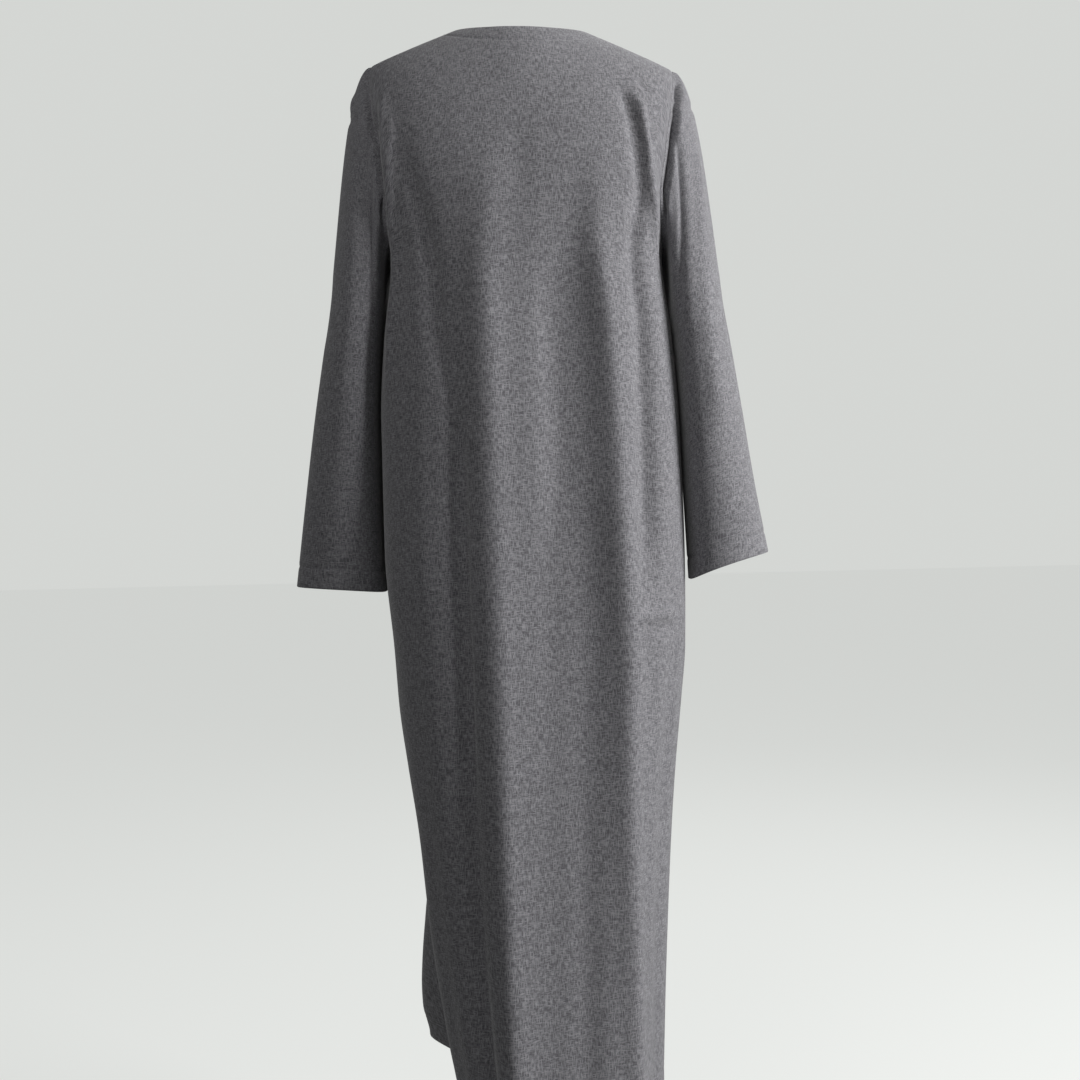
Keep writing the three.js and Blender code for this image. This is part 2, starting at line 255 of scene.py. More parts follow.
FOLDS = [
    # Back, from the left to the right
    Fold((46, -130), (67, -500), 6, -6, 120, 110),
    Fold((69.5, -400), (62, -1350), 4.5, -9, 160, 0),
    Fold((52, -380), (46, -1350), 7, 4, 300, 0),
    Fold((81, -150), (78, -1350), 8, 9, 250, 0),
    Fold((102, -150), (106, -1350), 9, -9, 250, 0),
    Fold((109, -150), (132, -1350), 7, 10, 220, 0),
    Fold((134, -180), (131, -760), 6, -10, 120, 160),
    Fold((149, -620), (152, -1350), 6, -5, 300, 0),
    # Left side, where the front cloth swings out past the back at the hem
    Fold((27, -760), (27, -1350), 10, 6, 500, 0),
    Fold((3, -850), (2, -1350), 11, -24, 450, 0),
    Fold((-36, -930), (-36, -1350), 13, 84, 420, 0),
    # Front of the skirt, which hangs in similar folds
    Fold((-58, -380), (-60, -1350), 6, -12, 300, 0),
    Fold((-77, -320), (-79, -1350), 9, 9, 420, 0),
    Fold((-97, -430), (-96, -1350), 7, -10, 350, 0),
    Fold((-117, -330), (-114, -1350), 8, 10, 400, 0),
    Fold((-134, -520), (-133, -1350), 6, -9, 300, 0),
    Fold((-153, -560), (-151, -1350), 10, 12, 500, 0),
    Fold((-176, -800), (-174, -1350), 8, -9, 400, 0),
    # Back edge beside the left armhole with its gutter, and the drag lines of the right shoulder
    Fold((38, -70), (22, -500), 4.5, 7, 60, 160),
    Fold((29, -80), (12, -360), 4, -5, 60, 120),
    Fold((116, -85), (137, -260), 4, -5, 50, 80),
    Fold((124, -85), (157, -335), 4, 4, 50, 90),
    # Front edges beside the armholes
    Fold((-43, -90), (-44, -430), 5, 6, 80, 180),
    Fold((-139, -90), (-137, -400), 5, 6, 80, 170),
]


class BodyForm:
    """The body's outer surface, as a function of the angle round it and the height."""

    def skirt(self, angle: Array, z: Array, folded: bool = True) -> Array:
        """Points below the underarm.

        Args:
            angle: degrees from the left side over the back
            z: heights
            folded: whether the large folds are in
        Returns:
            the points, in the last axis
        """
        cosine, sine = np.cos(np.radians(angle)), np.sin(np.radians(angle))
        exponent = 2.0 / SKIRT["square"](z)
        side = np.where(cosine >= 0, SKIRT["left"](z), SKIRT["right"](z))
        depth = np.where(sine >= 0, SKIRT["back"](z), SKIRT["front"](z))
        x = side * signed_power(cosine, exponent)
        y = depth * signed_power(sine, exponent)
        return self.lifted(x, y, z, angle, np.stack([cosine / side, sine / depth], -1), 1.0, folded)

    def yoke(self, angle: Array, level: Array, folded: bool = True) -> Array:
        """Points above the underarm, for levels from 0 there to 1 at the shoulder line."""
        cosine, sine = np.cos(np.radians(angle)), np.sin(np.radians(angle))
        back = sine >= 0
        share = 1.0 - (1.0 - level) ** 2
        exponent = 2.0 / YOKE["square"](share)
        side = YOKE["side"](share)
        x = side * signed_power(cosine, exponent)
        reach = level * (1.0 - np.sqrt(np.maximum(1.0 - self.top_share(x, back), 0.0)))
        height = 1.0 - (1.0 - reach) ** 2
        z = blend(CUT.underarm_z, self.ridge_z(x), height)
        shape = np.sqrt(np.maximum(1.0 - height ** CUT.cap_bend, 0.0))
        under = np.full_like(z, CUT.underarm_z)
        depth = np.where(back, SKIRT["back"](under), SKIRT["front"](under)) * shape
        y = depth * signed_power(sine, exponent)
        facing = np.stack([cosine / side, sine * shape / np.maximum(depth, 1.0)], -1)
        return self.lifted(x, y, z, angle, facing, shape, folded)

    def lifted(
        self, x: Array, y: Array, z: Array, angle: Array, facing: Array, shape: Array, folded: bool
    ) -> Array:
        """The points, pushed out by the folds along their level direction."""
        points = np.stack([x, y, z], -1)
        if folded:
            out = sum(fold.height(angle, z) for fold in FOLDS) * shape
            facing = facing / np.linalg.norm(facing, axis=-1, keepdims=True)
            points[..., :2] += out[..., None] * facing
        return points

    def ridge_z(self, x: Array) -> Array:
        """Height of the shoulder line."""
        away = np.abs(x)
        away = np.where(away < CUT.middle_round, (x * x / CUT.middle_round + CUT.middle_round) / 2.0, away)
        slope = CUT.shoulder_slope * (CUT.shoulder_x - away)
        return CUT.shoulder_z + slope + CUT.shoulder_tilt * x

    def top_share(self, x: Array, back: Array) -> Array:
        """Share of the height to the shoulder line at which the cloth ends, less at the neck."""
        across = np.minimum(np.abs(x) / CUT.neck_x, 1.0)
        low = np.where(back, CUT.back_neck_z, CUT.front_neck_z)
        high = self.ridge_z(CUT.neck_x) - CUT.shoulder_tilt * CUT.neck_x
        neck_z = blend(low, high, across ** np.where(back, 2.0, 2.3)) + CUT.shoulder_tilt * x
        share = (neck_z - CUT.underarm_z) / (self.ridge_z(x) - CUT.underarm_z)
        return np.where(across >= 1.0, 1.0, share)

    def armhole_angle(self, level: Array, face: Face) -> Array:
        """Angle of the left armhole's seam at a level of the yoke."""
        share = 1.0 - (1.0 - level) ** 2
        depth = np.maximum(ARMHOLE[face.name.lower()](share), 0.0)
        return np.degrees(np.arcsin(depth ** (YOKE["square"](share) / 2.0)))

    def top_angle(self, x: Array) -> Array:
        """Angle at which the top of the yoke reaches a distance from the middle."""
        return np.degrees(np.arccos((x / YOKE["side"](1.0)) ** (YOKE["square"](1.0) / 2.0)))


FORM = BodyForm()


def grid_normals(points: Array, ring: bool = False) -> Array:
    """Unit directions that face out of a grid, whose columns run to the left seen from outside.

    Args:
        points: rows from the top down or the bottom up, and columns
        ring: whether the last column is followed by the first one
    Returns:
        a direction for each point, as columns cross rows
    """
    if ring:
        around = np.roll(points, -1, axis=1) - np.roll(points, 1, axis=1)
    else:
        around = np.gradient(points, axis=1)
    along = np.gradient(points, axis=0)
    normal = np.cross(around, along)
    return normal / np.maximum(np.linalg.norm(normal, axis=-1, keepdims=True), 1e-9)


def lengths(points: Array, axis: int) -> Array:
    """Length along a grid's rows or columns up to each point."""
    steps = np.linalg.norm(np.diff(points, axis=axis), axis=-1)
    start = np.zeros_like(np.take(steps, [0], axis=axis))
    return np.concatenate([start, np.cumsum(steps, axis=axis)], axis=axis)


@dataclass(frozen=True)
class Crease:
    """A small soft ridge or trough that lies on the cloth.

    Args:
        path: its stations, in the chart of the piece that it lies on
        out: how far it stands out, below zero for a trough
        before: how far it spreads on the side that the path has on its right
        after: how far it spreads on the other side
        taper: the length over which each end dies away
    """

    path: tuple[tuple[float, float], ...]
    out: float
    before: float
    after: float
    taper: float = 40.0

    def height(self, chart: Array, line: Array) -> Array:
        """How far the crease lifts the cloth.

        Args:
            chart: each point's place in the flat chart of the piece
            line: the crease's stations in that chart
        Returns:
            the lift of each point
        """
        stations = np.linspace(0, len(line) - 1, 1 + 6 * (len(line) - 1))
        keys = np.arange(len(line))
        fine = np.stack([Curve(keys, line[:, i], True)(stations) for i in (0, 1)], -1)
        reach = 3.0 * max(self.before, self.after)
        low, high = fine.min(0) - reach, fine.max(0) + reach
        near = np.all((chart >= low) & (chart <= high), axis=-1)
        lift = np.zeros(chart.shape[:-1])
        if not near.any():
            return lift
        spots = chart[near]
        best = np.full(len(spots), np.inf)
        turned = np.zeros(len(spots))
        along = np.zeros(len(spots))
        walked = 0.0
        for start, end in zip(fine[:-1], fine[1:]):
            step = end - start
            length = float(np.hypot(*step))
            if length == 0.0:
                continue
            unit = step / length
            offset = spots - start
            run = np.clip(offset @ unit, 0.0, length)
            gap = np.linalg.norm(offset - run[:, None] * unit, axis=1)
            side = unit[0] * offset[:, 1] - unit[1] * offset[:, 0]
            nearer = gap < best
            best = np.where(nearer, gap, best)
            turned = np.where(nearer, side, turned)
            along = np.where(nearer, walked + run, along)
            walked += length
        spread = np.where(turned < 0, self.before, self.after)
        ends = ease(along / self.taper) * ease((walked - along) / self.taper)
        lift[near] = self.out * ends * np.exp(-((best / spread) ** 2))
        return lift


@dataclass(frozen=True)
class Edge:
    """How the cloth is turned at an edge.

    Args:
        radius: the turn's radius in the middle of the cloth
        turn: how far it turns, in degrees
        depth: how far the turned cloth reaches in
    """

    radius: float
    turn: float
    depth: float


HEM = Edge(0.9, 180.0, 30.0)
SEAM = Edge(0.4, 90.0, 4.0)
TURN_STEPS = 4
DEPTH_STEPS = 5
HEM_STITCHES = 27.0  # depth of each row of stitches in from its edge
NECK_STITCHES = 28.0
CUFF_STITCHES = 25.0
THREAD_PROUD = 0.1  # how far the thread's middle lies off the cloth
SIDE_FADE = 16.0  # creases die away over this length at the side edges
END_FADE = 14.0  # and over this one at the shoulder and sleeve seams


@dataclass(frozen=True)
class Press:
    """The shallow line that is pressed in where a hem is sewn down.

    Args:
        depth: how far in from the edge it lies
        dip: how far the cloth is pressed in
        reach: how far that spreads
    """

    depth: float = 26.0
    dip: float = 0.9
    reach: float = 2.6

    def height(self, walked: Array) -> Array:
        """How far the cloth is pressed in at each distance from the edge."""
        return self.dip * np.exp(-(((walked - self.depth) / self.reach) ** 2))


PRESS = Press()


def at_depths(lines: Array, normals: Array, depths: Array) -> tuple[Array, Array]:
    """Points and directions at a depth in from an edge.

    Args:
        lines: points that run in from the edge, shaped (steps in, points of the edge, 3)
        normals: the directions out of the cloth at those points
        depths: the depth at each point of the edge
    Returns:
        a point and a direction, of about unit length, for each point of the edge
    """
    walked = lengths(lines, 0)

    def read(values: Array) -> Array:
        """The values at the depths."""
        return np.array([
            [np.interp(depth, walked[:, i], values[:, i, axis]) for axis in range(3)]
            for i, depth in enumerate(depths)
        ])

    return read(lines), read(normals)


def turned_edge(lines: Array, normals: Array, edge: Edge, depths: Array) -> tuple[Array, Array]:
    """Turns the cloth in at an edge, with the turned part close under the outside.

    Args:
        lines: points that run in from the edge, shaped (steps in, points of the edge, 3)
        normals: the directions out of the cloth at those points
        edge: how the cloth is turned
        depths: how far the turned cloth reaches in at each point of the edge
    Returns:
        the edge's own points moved in by the radius, and the points of the turned part
    """
    first = lines[0]
    inwards = lines[1] - first
    inwards /= np.linalg.norm(inwards, axis=-1, keepdims=True)
    start = first + inwards * edge.radius
    normal = normals[0]
    turned = []
    last = math.radians(edge.turn)
    for step in range(1, TURN_STEPS + 1):
        a = last * step / TURN_STEPS
        turned.append(start - edge.radius * (math.sin(a) * inwards + (1.0 - math.cos(a)) * normal))
    if edge.turn > 90.0:
        for step in range(1, DEPTH_STEPS + 1):
            point, out = at_depths(lines, normals, edge.radius + depths * step / DEPTH_STEPS)
            out /= np.linalg.norm(out, axis=-1, keepdims=True)
            turned.append(point - 2.0 * edge.radius * out)
    else:
        for step in range(1, 3):
            turned.append(turned[-1] - normal * edge.depth / 2.0)
    return start, np.array(turned)


def placed(name: str, data: bpy.types.ID) -> bpy.types.Object:
    """A new object in the scene, at the origin."""
    obj = bpy.data.objects.new(name, data)
    bpy.context.scene.collection.objects.link(obj)
    return obj


def cloth_mesh(name: str, points: Array, flat: Array, ring: bool = False) -> bpy.types.Object:
    """A cloth surface from a grid.

    Args:
        name: the object's name
        points: the grid in millimetres, columns counterclockwise seen from above the row's start
        flat: each point's place on the flat cloth in millimetres, and one column more for a ring
        ring: whether the last column is followed by the first one
    Returns:
        the object, with a UV map in metres of cloth
    """
    rows, count = points.shape[:2]
    steps = count if ring else count - 1
    r, c = np.meshgrid(np.arange(rows - 1), np.arange(steps), indexing="ij")
    after = (c + 1) % count
    quads = np.stack([r * count + c, r * count + after, (r + 1) * count + after, (r + 1) * count + c], -1)
    corners = np.stack([flat[r, c], flat[r, c + 1], flat[r + 1, c + 1], flat[r + 1, c]], -2)
    mesh = bpy.data.meshes.new(name)
    mesh.from_pydata(points.reshape(-1, 3) * METRES, [], quads.reshape(-1, 4).tolist())
    layer = mesh.uv_layers.new(name="cloth")
    layer.data.foreach_set("uv", (corners.reshape(-1) * METRES).astype(np.float32))
    mesh.shade_smooth()
    mesh.update()
    return placed(name, mesh)


def thicken(obj: bpy.types.Object, thickness: float) -> None:
    """Gives a cloth surface its thickness, inwards from the outside."""
    wall = obj.modifiers.new("thickness", "SOLIDIFY")
    wall.thickness = thickness * METRES
    wall.offset = -1.0
    wall.use_even_offset = False


@dataclass
class BodyPanel:
    """The back or the front, from the hem up to the shoulders and the neck edge."""

    face: Face
    creases: list[Crease]
    columns: int = 156
    skirt_rows: int = 184
    yoke_rows: int = 84
    crowding: float = 1.15
    to_neck: float = 2.0 / 3.0
    spread: float = 0.28
    spread_angle: float = 46.0
    thickness: float = 0.7
    facing_depth: float = 30.0
    shoulder_depth: float = 8.0
    seam_dip: float = 0.8
    seam_reach: float = 3.0
    stitch_lines: dict[str, Array] = field(default_factory=dict)

    def column_angles(self, level: Array) -> Array:
        """Angles of the columns from the first side seam or armhole to the other one.

        Args:
            level: the rows' levels up the yoke, 0 on the skirt
        Returns:
            angles from 0 to 180, shaped (rows, columns)
        """
        share = np.linspace(0.0, 2.0, self.columns + 1)
        mirrored = np.minimum(share, 2.0 - share)[None, :]
        level = level[:, None]
        edge = np.where(level > 0, FORM.armhole_angle(level, self.face), 0.0)
        near = blend(edge, self.spread_angle, mirrored / self.spread)
        far = blend(self.spread_angle, 90.0, (mirrored - self.spread) / (1.0 - self.spread))
        plain = np.where(mirrored <= self.spread, near, far)
        round_neck = np.pi / 2.0 * np.clip((mirrored - self.to_neck) / (1.0 - self.to_neck), 0.0, 1.0)
        corner = FORM.top_angle(np.asarray(CUT.neck_x))
        at_neck = FORM.top_angle(CUT.neck_x * np.maximum(np.cos(round_neck), 0.0))
        top_edge = FORM.armhole_angle(np.ones_like(level), self.face)
        shoulder = blend(top_edge, corner, mirrored / self.to_neck)
        top = np.where(mirrored <= self.to_neck, shoulder, at_neck)
        top = top + (edge - top_edge) * (1.0 - mirrored) ** 4
        angles = blend(plain, top, level ** 2)
        return np.where(share[None, :] <= 1.0, angles, 180.0 - angles)

    def grid(self, folded: bool) -> Array:
        """Points of the outside, row by row from the hem up.

        Args:
            folded: whether the large folds are in
        Returns:
            the points, shaped (rows, columns, 3)
        """
        heights = np.linspace(CUT.hem_z, CUT.underarm_z, self.skirt_rows + 1)[:-1]
        levels = (np.arange(self.yoke_rows + 1) / self.yoke_rows) ** self.crowding
        low = self.column_angles(np.zeros_like(heights))
        high = self.column_angles(levels)
        if self.face is Face.FRONT:
            low, high = low + 180.0, high + 180.0
        skirt = FORM.skirt(low, np.broadcast_to(heights[:, None], low.shape).copy(), folded)
        yoke = FORM.yoke(high, np.broadcast_to(levels[:, None], high.shape).copy(), folded)
        return np.concatenate([skirt, yoke])

    def build(self) -> bpy.types.Object:
        """Makes the panel with its creases, turned hem, neck edge and seams.

        Returns:
            the panel's object
        """
        plain = self.grid(False)
        points = self.grid(True)
        across = lengths(plain, 1)
        across -= across[:, [self.columns // 2]]
        chart = np.stack([across, plain[..., 2]], -1)
        to_edge = np.minimum(across - across[:, [0]], across[:, [-1]] - across)
        lift = np.zeros(across.shape)
        for crease in self.creases:
            lift += crease.height(chart, self.place(crease.path, plain, across))
        lift *= ease(to_edge / SIDE_FADE)
        down = lengths(points, 0)
        to_top = down[-1] - down
        middle_share = np.abs(np.linspace(-1.0, 1.0, self.columns + 1))
        at_shoulder = middle_share > 1.0 - self.to_neck - 1e-6
        lift *= ease(to_top / END_FADE)
        lift -= PRESS.height(down)
        lift -= PRESS.height(to_top) * (middle_share < 1.0 - self.to_neck)
        dip = np.exp(-((to_edge / self.seam_reach) ** 2))
        dip = np.maximum(dip, np.exp(-((to_top / self.seam_reach) ** 2)) * at_shoulder)
        points = points + grid_normals(points) * (lift - self.seam_dip * dip)[..., None]
        y_sign = float(self.face.value)
        under = plain[:, 0, 2] <= CUT.underarm_z + 1e-6
        points[under, 0, 1] = y_sign * CUT.seam / 2.0 + (points[under, 0, 1] - plain[under, 0, 1])
        points[under, -1, 1] = y_sign * CUT.seam / 2.0 + (points[under, -1, 1] - plain[under, -1, 1])
        points[-1, at_shoulder, 1] += y_sign * CUT.seam / 2.0
        return self.finish(points, across)

    def place(self, path: tuple[tuple[float, float], ...], plain: Array, across: Array) -> Array:
        """Turns stations given as X and height into places in the panel's chart."""
        stations = []
        for x, z in path:
            row = int(np.argmin(np.abs(plain[:, self.columns // 2, 2] - z)))
            for _ in range(3):
                column = int(np.argmin(np.abs(plain[row, :, 0] - x)))
                row = int(np.argmin(np.abs(plain[:, column, 2] - z)))
            order = np.argsort(plain[row, :, 0])
            stations.append((np.interp(x, plain[row, order, 0], across[row, order]), z))
        return np.array(stations)

    def finish(self, points: Array, across: Array) -> bpy.types.Object:
        """Turns the edges in and makes the mesh.

        Args:
            points: the outside, from the hem up
            across: length along each row from the middle column
        Returns:
            the panel's object
        """
        normals = grid_normals(points)
        flat = np.stack([across, lengths(points, 0)], -1)
        flat[..., 1] += CUT.hem_z
        start, hem = turned_edge(points, normals, HEM, np.full(points.shape[1], HEM.depth))
        middle_share = np.abs(np.linspace(-1.0, 1.0, self.columns + 1))
        neck_share = ease((1.0 - self.to_neck - middle_share) / 0.02 + 0.5)
        depths = blend(self.shoulder_depth, self.facing_depth, neck_share)
        top_start, top = turned_edge(points[::-1], normals[::-1], HEM, depths)
        self.keep_stitch_lines(points, normals)
        points = points.copy()
        points[0], points[-1] = start, top_start
        whole = np.concatenate([hem[::-1], points, top])
        below = flat[0][None] - np.stack([np.zeros(len(hem)), np.linspace(1, 32, len(hem))], -1)[:, None]
        above = flat[-1][None] + np.stack([np.zeros(len(top)), np.linspace(1, 32, len(top))], -1)[:, None]
        flat = np.concatenate([below[::-1], flat, above])
        whole, flat = self.turn_sides(whole, flat)
        obj = cloth_mesh(f"{self.face.name.lower()}_cloth", whole, flat)
        thicken(obj, self.thickness)
        return obj

    def turn_sides(self, points: Array, flat: Array) -> tuple[Array, Array]:
        """Turns the side and armhole edges in, square to the cloth.

        Args:
            points: the whole grid
            flat: its places on the flat cloth
        Returns:
            both with the turned columns added
        """
        normals = grid_normals(points)
        inner = TURN_STEPS + DEPTH_STEPS + 1
        normals[:inner], normals[-inner:] = normals[inner], normals[-inner - 1]
        for _ in range(2):
            start, turned = turned_edge(points.transpose(1, 0, 2), normals.transpose(1, 0, 2), SEAM,
                                        np.zeros(points.shape[0]))
            points = points.copy()
            points[:, 0] = start
            steps = len(turned)
            points = np.concatenate([turned[::-1].transpose(1, 0, 2), points], axis=1)
            normals = np.concatenate([np.repeat(normals[:, :1], steps, axis=1), normals], axis=1)
            sign = np.sign(flat[:, :1, 0] - flat[:, -1:, 0])
            shift = np.linspace(SEAM.depth, 0.5, steps)[None, :] * sign
            extra = np.stack([flat[:, :1, 0] + shift, np.repeat(flat[:, :1, 1], steps, axis=1)], -1)
            flat = np.concatenate([extra, flat], axis=1)
            points, normals, flat = points[:, ::-1], normals[:, ::-1], flat[:, ::-1]
        return points, flat

    def keep_stitch_lines(self, points: Array, normals: Array) -> None:
        """Notes where the hem's and the neck's stitches lie on the outside."""
        self.stitch_lines["hem"] = line_at(points, normals, HEM_STITCHES)
        half = self.columns // 2
        reach = int(round(half * (1.0 - self.to_neck)))
        inner = slice(half - reach, half + reach + 1)
        self.stitch_lines["neck"] = line_at(points[::-1, inner], normals[::-1, inner], NECK_STITCHES)


def line_at(lines: Array, normals: Array, depth: float) -> Array:
    """The line that runs at a depth in from an edge, just proud of the cloth.

    Args:
        lines: points that run in from the edge
        normals: the directions out of the cloth
        depth: how far in the line lies
    Returns:
        the line's points
    """
    spots, out = at_depths(lines, normals, np.full(lines.shape[1], depth))
    return spots + THREAD_PROUD * out


@dataclass
class Sleeve:
    """A set-in sleeve: its head leaves the armhole and falls into a plain tube down to the cuff."""

    side: Side
    creases: list[Crease]
    count: int = 192
    head_rings: int = 84
    tube_rings: int = 150
    crowding: float = 1.15
    head_crowding: float = 1.15
    climb_crowding: float = 1.4
    cuff_depth: float = 26.0
    thickness: float = 0.7
    seam_dip: float = 0.8
    seam_reach: float = 3.0
    gutter: float = 10.5
    gutter_at: float = 10.5
    gutter_reach: float = 8.0
    front_gutter: float = 0.5
    stitch_lines: dict[str, Array] = field(default_factory=dict)

    def armhole(self) -> tuple[Array, Array, Array]:
        """The armhole's seam, up the back from the underarm and down the front.

        Returns:
            its points, the directions out of the body there, and those that lead away from it
        """
        turn = np.arange(self.count) / self.count
        back = turn < 0.5
        climb = np.where(back, 2.0 * turn, 2.0 - 2.0 * turn)
        level = climb ** self.climb_crowding
        edge = np.where(back, FORM.armhole_angle(level, Face.BACK), FORM.armhole_angle(level, Face.FRONT))
        angle = edge if self.side is Side.LEFT else 180.0 - edge
        angle = np.where(back, angle, -angle)
        points = FORM.yoke(angle, level)
        step, rise = 0.25, 0.004
        aside = FORM.yoke(angle + step, level) - FORM.yoke(angle - step, level)
        high, low = np.minimum(level + rise, 1.0), np.maximum(level - rise, 0.0)
        up = FORM.yoke(angle, high) - FORM.yoke(angle, low)
        normals = np.cross(aside, up)
        normals /= np.linalg.norm(normals, axis=-1, keepdims=True)
        along = np.roll(points, -1, axis=0) - np.roll(points, 1, axis=0)
        away = np.cross(along, normals) * -self.side.value
        away /= np.linalg.norm(away, axis=-1, keepdims=True)
        return points, normals, away

    def tube(self, turn: Array, z: Array) -> Array:
        """Points of the tube, worked out on the left and moved to the sleeve's own side."""
        table = SLEEVES[self.side]
        angle = turn * 2.0 * np.pi
        across = -signed_power(np.cos(angle), 2.0 / CUT.sleeve_square)
        along = signed_power(np.sin(angle), 2.0 / CUT.sleeve_square)
        inner, outer = table["inner"](z), table["outer"](z)
        back, front = table["back"](z), table["front"](z)
        x = (inner + outer) / 2.0 + (outer - inner) / 2.0 * across
        x = x - CUT.sleeve_lean * np.maximum(along, 0.0) ** 2
        y = (back + front) / 2.0 + (back - front) / 2.0 * along
        return np.stack([x * self.side.value, y, z + table["lift"](z) * across / 2.0], -1)

    def rings(self) -> Array:
        """Points of the outside, ring by ring from the armhole to the cuff."""
        points, _, away = self.armhole()
        starts = points + away * CUT.seam
        turn = np.arange(self.count) / self.count
        side = self.side.value
        ends = self.tube(turn, np.full(self.count, CUT.biceps_z))
        near_top = ((1.0 - np.cos(2.0 * np.pi * turn)) / 2.0)[:, None]
        leave = np.array([side, 0.0, -CUT.head_droop]) + away * CUT.head_ease
        leave /= np.linalg.norm(leave, axis=-1, keepdims=True)
        leave *= blend(CUT.underarm_reach, CUT.shoulder_reach, near_top)
        span = np.linalg.norm(ends - starts, axis=-1, keepdims=True)
        arrive = np.array([side * CUT.arm_spread, 0.0, -1.0]) * span
        t = (np.arange(self.head_rings + 1) / self.head_rings) ** self.head_crowding
        head = hermite(starts[None], leave[None], ends[None], arrive[None], t[:, None, None])
        cuff = CUT.left_cuff_z if self.side is Side.LEFT else CUT.right_cuff_z
        heights = np.linspace(CUT.biceps_z, cuff, self.tube_rings + 1)[1:]
        z = np.broadcast_to(heights[:, None], (self.tube_rings, self.count)).copy()
        return np.concatenate([head, self.tube(turn[None, :], z)])

    def outwards(self, points: Array) -> Array:
        """Directions out of the sleeve."""
        return grid_normals(points, ring=True) * self.side.value

    def build(self) -> bpy.types.Object:
        """Makes the sleeve with its creases, seam and turned cuff.

        Returns:
            the sleeve's object
        """
        points = self.rings()
        walked = lengths(points, 0)
        turn = np.broadcast_to(np.arange(self.count) / self.count, walked.shape)
        girth = np.linalg.norm(np.roll(points, -1, axis=1) - points, axis=-1).sum(1)
        girth = np.maximum(girth, girth[self.head_rings])[:, None]
        chart = np.stack([(turn - 0.5) * girth, points[..., 2]], -1)
        lift = np.zeros(walked.shape)
        for crease in self.creases:
            line = np.array([self.place(spot, girth, points) for spot in crease.path])
            lift += crease.height(chart, line)
        lift *= ease(walked / END_FADE)
        lift -= self.seam_dip * np.exp(-((walked / self.seam_reach) ** 2))
        lift -= PRESS.height(walked[-1] - walked)
        behind = ease((turn - 0.08) / 0.06) * ease((0.46 - turn) / 0.08)
        before = ease((0.92 - turn) / 0.06) * ease((turn - 0.54) / 0.08)
        share = behind + self.front_gutter * before
        lift -= self.gutter * share * np.exp(-(((walked - self.gutter_at) / self.gutter_reach) ** 2))
        points = points + self.outwards(points) * lift[..., None]
        return self.finish(points, girth)

    def place(self, spot: tuple[float, float], girth: Array, points: Array) -> tuple[float, float]:
        """Turns a share of the way round and a height into a place in the sleeve's chart."""
        turn, z = spot
        column = int(round(turn * self.count)) % self.count
        row = int(np.argmin(np.abs(points[:, column, 2] - z)))
        return ((turn - 0.5) * float(girth[row, 0]), z)

    def finish(self, points: Array, girth: Array) -> bpy.types.Object:
        """Turns the cuff and the seam in and makes the mesh.

        Args:
            points: the outside, from the armhole down
            girth: the length round each ring
        Returns:
            the sleeve's object
        """
        normals = self.outwards(points)
        walked = lengths(points, 0)
        start, cuff = turned_edge(points[::-1], normals[::-1], HEM, np.full(self.count, self.cuff_depth))
        self.stitch_lines["cuff"] = line_at(points[::-1], normals[::-1], CUFF_STITCHES)
        head_start, head = turned_edge(points, normals, SEAM, np.zeros(self.count))
        points = points.copy()
        points[-1], points[0] = start, head_start
        whole = np.concatenate([head[::-1], points, cuff])
        turn = np.arange(self.count + 1) / self.count - 0.5
        above_cuff = walked[-1:] - walked
        level = np.concatenate([
            above_cuff[:1] + np.linspace(SEAM.depth, 0.5, len(head))[:, None],
            above_cuff,
            above_cuff[-1:] - np.linspace(1.0, 28.0, len(cuff))[:, None],
        ])
        level = np.concatenate([level, level[:, :1]], axis=1)
        above, below = np.repeat(girth[:1], len(head), 0), np.repeat(girth[-1:], len(cuff), 0)
        around = np.concatenate([above, girth, below])
        flat = np.stack([turn * around, level], -1)
        if self.side is Side.LEFT:
            whole, flat = whole[::-1], flat[::-1]
        else:
            whole, flat = whole[::-1, ::-1], flat[::-1, ::-1]
            whole = np.roll(whole, 1, axis=1)
        obj = cloth_mesh(f"sleeve_{self.side.name.lower()}_cloth", whole, flat, ring=True)
        thicken(obj, self.thickness)
        return obj


